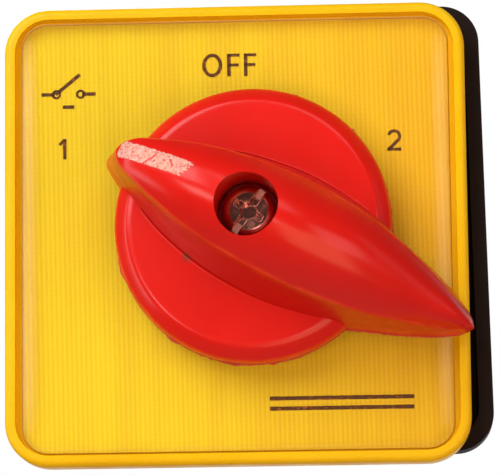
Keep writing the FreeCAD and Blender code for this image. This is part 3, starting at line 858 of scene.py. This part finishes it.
def make_fillet():
    """Small fillet between the lever's walls and the front of the disc."""
    verts, faces = [], []
    steps, across = 120, 4
    row = across + 1
    height = HANDLE_Y - DISC_FACE_Y
    for side in (1, -1):
        start = len(verts)
        for i in range(steps + 1):
            u = FILLET_FROM - FILLET_LENGTH * i / steps
            foot, rise = table_value(FOOT_HALF, u), table_value(TOP_RISE, u)
            wall = foot + (table_value(TOP_HALF, u) - foot) * height / rise
            for k in range(row):
                a = math.radians(90 * k / across)
                v = wall - 0.03 + FILLET_R * (1 - math.sin(a))
                x, z = on_lever(u, side * v)
                y = DISC_FACE_Y + 0.01 - FILLET_R * (1 - math.cos(a))
                verts.append((x * MM, y * MM, z * MM))
        for i in range(steps):
            for k in range(across):
                a = start + i * row + k
                faces.append((a, a + 1, a + row + 1, a + row))
    mesh = mesh_from(verts, faces, "handle_fillet")
    face_front(mesh)
    smooth_all(mesh)
    new_piece("handle_fillet", mesh, MAT["red"], "rotor")


make_handle()
make_flash()
make_fillet()
make_cover()


# ---------------------------------------------------------------------------
# Contact springs
# ---------------------------------------------------------------------------

def make_pressed_springs():
    """Copies of the upper contact springs, as pieces of their own on the housing."""
    for deck in (1, 2, 3):
        node = f"contact_spring_upper_{deck}"
        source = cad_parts[node]
        mesh = source.data.copy()
        mesh.transform(source.matrix_world)
        smooth_all(mesh, 60)
        piece = new_piece(f"{node}_coil", mesh, MAT["spring"], "housing")
        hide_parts(node)
        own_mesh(piece)


make_pressed_springs()


# ---------------------------------------------------------------------------
# Printed marks
# ---------------------------------------------------------------------------

PRINT_LIFT = 0.03               # prints stand this far in front of the plate
THICK, THIN = 0.50, 0.42        # widths of most strokes


def ribbon(points, width, closed):
    """Flat stroke with slightly ragged edges along points on the plate, in millimetres."""
    rng = random.Random(len(points) * 17 + int(width * 100))
    verts, faces = [], []
    count = len(points)
    for i, (x, z) in enumerate(points):
        if closed:
            before, after = points[i - 1], points[(i + 1) % count]
        else:
            before, after = points[max(i - 1, 0)], points[min(i + 1, count - 1)]
        dx, dz = after[0] - before[0], after[1] - before[1]
        length = math.hypot(dx, dz) or 1.0
        nx, nz = -dz / length, dx / length
        half = width / 2 * (1.0 + rng.uniform(-0.07, 0.07))
        verts.append((x + nx * half, z + nz * half))
        verts.append((x - nx * half, z - nz * half))
    steps = count if closed else count - 1
    for i in range(steps):
        j = (i + 1) % count
        faces.append((2 * i, 2 * i + 1, 2 * j + 1, 2 * j))
    return verts, faces


def line(a, b, steps=8):
    """Points of a straight stroke."""
    return [between(a, b, i / steps) for i in range(steps + 1)]


def arc(cx, cz, rx, rz, a0, a1, steps):
    """Points of an ellipse from angle a0 to a1, in degrees."""
    pts = []
    for i in range(steps + 1):
        a = math.radians(a0 + (a1 - a0) * i / steps)
        pts.append((cx + rx * math.cos(a), cz + rz * math.sin(a)))
    return pts


def print_strokes(name, strokes):
    """Flat printed (points, width, closed) strokes on the legend plate, as one thin mesh."""
    verts, faces = [], []
    for points, width, closed in strokes:
        v, f = ribbon(points, width, closed)
        start = len(verts)
        for x, z in v:
            px, pz = on_plate(x, z)
            verts.append((px * MM, (LEGEND_Y - PRINT_LIFT) * MM, pz * MM))
        faces += [tuple(start + i for i in face) for face in f]
    mesh = mesh_from(verts, faces, name)
    face_front(mesh)
    new_piece(name, mesh, MAT["ink"], "housing")


# Each letter or digit stands with its lower left corner at x, z.

def letter_o(x, z, w, h):
    rx, rz = w / 2, h / 2
    return [(arc(x + rx, z + rz, rx - 0.22, rz - 0.22, 0, 352.5, 47), THICK, True)]


def letter_f(x, z, w, h):
    stem = x + THICK / 2
    return [(line((stem, z), (stem, z + h)), THICK, False),
            (line((x, z + h - 0.2), (x + w, z + h - 0.2)), THIN, False),
            (line((x, z + h * 0.50), (x + w * 0.92, z + h * 0.50)), THIN, False)]


def digit_1(x, z, h):
    return [(line((x, z), (x, z + h)), 0.48, False),
            (line((x - 0.05, z + h - 0.15), (x - 0.75, z + h - 0.85)), THIN, False)]


def digit_2(x, z, w, h):
    r = w / 2 - 0.2
    top = arc(x + w / 2, z + h - r - 0.2, r, r, 165, -35, 24)
    foot = line(top[-1], (x + 0.2, z + 0.2), 10)
    return [(top + foot[1:], 0.46, False),
            (line((x, z + 0.22), (x + w, z + 0.22)), 0.44, False)]


def make_prints():
    """OFF, 1, 2, a plain switch symbol and a plain double rule."""
    print_strokes("legend_off", letter_o(-4.45, 22.25, 2.75, 3.3)
                  + letter_f(-1.0, 22.3, 1.75, 3.2) + letter_f(1.35, 22.3, 1.75, 3.2))
    print_strokes("legend_1", digit_1(-23.75, 11.0, 2.9))
    print_strokes("legend_2", digit_2(21.1, 11.3, 1.95, 3.0))
    # two terminals and an open blade, with a short bar below
    print_strokes("legend_symbol", [
        (line((-27.0, 20.2), (-25.1, 20.2)), THICK, False),
        (line((-25.0, 20.2), (-21.6, 23.0)), THICK, False),
        (line((-21.3, 20.2), (-19.4, 20.2)), THICK, False),
        (arc(-24.9, 20.2, 0.5, 0.5, 0, 345, 23), 0.34, True),
        (arc(-21.5, 20.2, 0.5, 0.5, 0, 345, 23), 0.34, True),
        (line((-24.0, 18.4), (-22.4, 18.4)), THICK, False)])
    print_strokes("legend_rule", [(line((4.4, z), (24.2, z), 40), 0.55, False)
                                  for z in (-22.9, -24.3)])


make_prints()


MARK_FROM, MARK_LENGTH = 19.0, 9.9      # along the lever, towards the tail
MARK_HALF = 1.18
MARK_LIFT = 0.035               # the paint stands this far off the crest
# chips in the paint: first row and column, step in rows (halved) and columns, length
CHIPS = ((26, 15, 1, -1, 12), (27, 15, 1, -1, 9), (43, 4, 2, 1, 7), (44, 4, 2, 1, 6),
         (52, 9, 2, -1, 5), (33, 9, 0, 1, 3))
LOOSE_CHIPS = 26


def make_handle_mark():
    """Worn white paint stripe along the crest at the lever's head."""
    rng = random.Random(7)
    verts, faces, rows = [], [], []
    steps, across = 60, 16
    edges = [[rng.uniform(-0.07, 0.07) for _ in range(2)] for _ in range(steps + 1)]
    end = [0.25 * math.sin(k * 1.9) + rng.uniform(-0.22, 0.22) for k in range(across + 1)]
    for i in range(steps + 1):
        t = i / steps
        row = []
        for k in range(across + 1):
            s = k / across * 2 - 1
            half = MARK_HALF * (1.0 - 0.30 * max(0.0, 1.0 - t * 22.0))
            v = -0.12 - 0.62 * t + s * half
            if k in (0, across):
                v += edges[i][0 if k == 0 else 1]
            u = MARK_FROM - MARK_LENGTH * t + 0.55 * s * t + end[k] * t ** 8
            top = table_value(TOP_HALF, u)
            x = abs(v) / max(top, 0.2)
            h = dome(table_value(TOP_RISE, u), table_value(CREST_RISE, u), min(x, 1.0))
            h += MARK_LIFT
            if x > 1.0:
                h -= 2.2 * (abs(v) - top)
            px, pz = on_lever(u, v)
            row.append(len(verts))
            verts.append((px * MM, (HANDLE_Y - h) * MM, pz * MM))
        rows.append(row)
    wear_and_edge_highlight = {(i0 + di * j // 2, k0 + dk * j) for i0, k0, di, dk, length in CHIPS
            for j in range(length)}
    for _ in range(LOOSE_CHIPS):
        wear_and_edge_highlight.add((rng.randrange(steps), rng.randrange(across)))
    for i, (a, b) in enumerate(zip(rows, rows[1:])):
        for k in range(across):
            if (i, k) not in wear_and_edge_highlight:
                faces.append((a[k], a[k + 1], b[k + 1], b[k]))
    mesh = mesh_from(verts, faces, "handle_mark")
    face_front(mesh)
    smooth_all(mesh)
    new_piece("handle_mark", mesh, MAT["paint"], "rotor")


make_handle_mark()


# ---------------------------------------------------------------------------
# Camera, floor and light
# ---------------------------------------------------------------------------

CAMERA_PLACE = (0.02045, -0.47217, -0.07398)
CAMERA_TURNS = ((2.618, "Y"), (8.974, "X"), (-1.759, "Z"))      # yaw, pitch, roll in degrees
FLOOR_HALF, FLOOR_Z = 6.0, -1.2
FRONT_LEVEL = 0.08              # the surroundings' light in front of the object
AIM = Vector((0, -0.015, 0))


def make_camera():
    """Long lens, a little to the right of the object and below it."""
    data = bpy.data.cameras.new("camera")
    data.sensor_width = 36.0
    data.lens = 243.9
    data.clip_start = 0.01
    data.clip_end = 20.0
    cam = bpy.data.objects.new("camera", data)
    bpy.context.scene.collection.objects.link(cam)
    yaw, pitch, roll = (Matrix.Rotation(math.radians(degrees), 3, axis)
                        for degrees, axis in CAMERA_TURNS)
    to_frame = Matrix(((1, 0, 0), (0, 0, -1), (0, 1, 0)))
    turn = to_frame @ (yaw @ pitch @ roll)
    cam.matrix_world = Matrix.Translation(CAMERA_PLACE) @ turn.to_4x4()
    bpy.context.scene.camera = cam


def make_floor():
    """Plain pale floor far below the object."""
    s = Shader("pale_floor")
    s.feed("Base Color", s.ramp(s.noise(3.0, 2.0), [(0.3, (0.86, 0.86, 0.85)),
                                                    (0.7, (0.90, 0.90, 0.89))]))
    s.set(Roughness=0.8)
    corners = [(sx * FLOOR_HALF, sy * FLOOR_HALF, FLOOR_Z)
               for sx, sy in ((-1, -1), (1, -1), (1, 1), (-1, 1))]
    mesh = mesh_from(corners, [(0, 1, 2, 3)], "floor")
    mesh.materials.append(s.mat)
    obj = bpy.data.objects.new("floor", mesh)
    bpy.context.scene.collection.objects.link(obj)


def area(name, place, size, power, colour=(1, 1, 1), size_y=None):
    """Area light that points at the object. Sizes are in metres, power in watts."""
    data = bpy.data.lights.new(name, "AREA")
    data.shape = "RECTANGLE"
    data.size = size
    data.size_y = size_y or size
    data.energy = power
    data.color = colour
    obj = bpy.data.objects.new(name, data)
    obj.location = place
    way = AIM - Vector(place)
    obj.rotation_euler = way.to_track_quat("-Z", "Y").to_euler()
    obj.visible_camera = False
    bpy.context.scene.collection.objects.link(obj)


def make_light():
    """White surroundings, bright behind the object and dim in front of it, and area lights."""
    world = bpy.data.worlds.new("studio")
    world.use_nodes = True
    nodes, links = world.node_tree.nodes, world.node_tree.links
    background = nodes["Background"]
    background.inputs["Color"].default_value = (1, 1, 1, 1)
    split = nodes.new("ShaderNodeSeparateXYZ")
    links.new(nodes.new("ShaderNodeTexCoord").outputs["Generated"], split.inputs["Vector"])
    level = nodes.new("ShaderNodeMapRange")
    level.inputs["From Min"].default_value = 0.60
    level.inputs["From Max"].default_value = 0.92
    level.inputs["To Min"].default_value = FRONT_LEVEL
    level.inputs["To Max"].default_value = 1.0
    links.new(split.outputs["Y"], level.inputs["Value"])
    links.new(level.outputs["Result"], background.inputs["Strength"])
    bpy.context.scene.world = world
    area("key", (-0.30, -0.42, 0.32), 0.46, 4.3)
    area("low_left", (-0.28, -0.51, -0.12), 0.16, 0.7, (1.0, 0.84, 0.76))
    area("warm_fill", (0.24, -0.50, -0.34), 0.50, 2.4, (1.0, 0.70, 0.38))
    area("top", (0.16, -0.42, 0.34), 0.26, 0.5)
    area("near", (0.10, -0.95, -0.14), 0.12, 0.3)
    area("right", (0.50, -0.42, -0.03), 0.30, 0.8, (1.0, 0.82, 0.76))
    area("left_strip", (-0.55, -0.10, -0.02), 0.10, 0.85, size_y=0.55)
    area("right_strip", (0.55, -0.08, 0.02), 0.10, 0.12, size_y=0.55)
    area("rear", (-0.25, 0.75, 0.45), 0.40, 1.6)


make_camera()
make_floor()
make_light()
scene = bpy.context.scene
scene.view_settings.view_transform = "Standard"
scene.view_settings.look = "None"
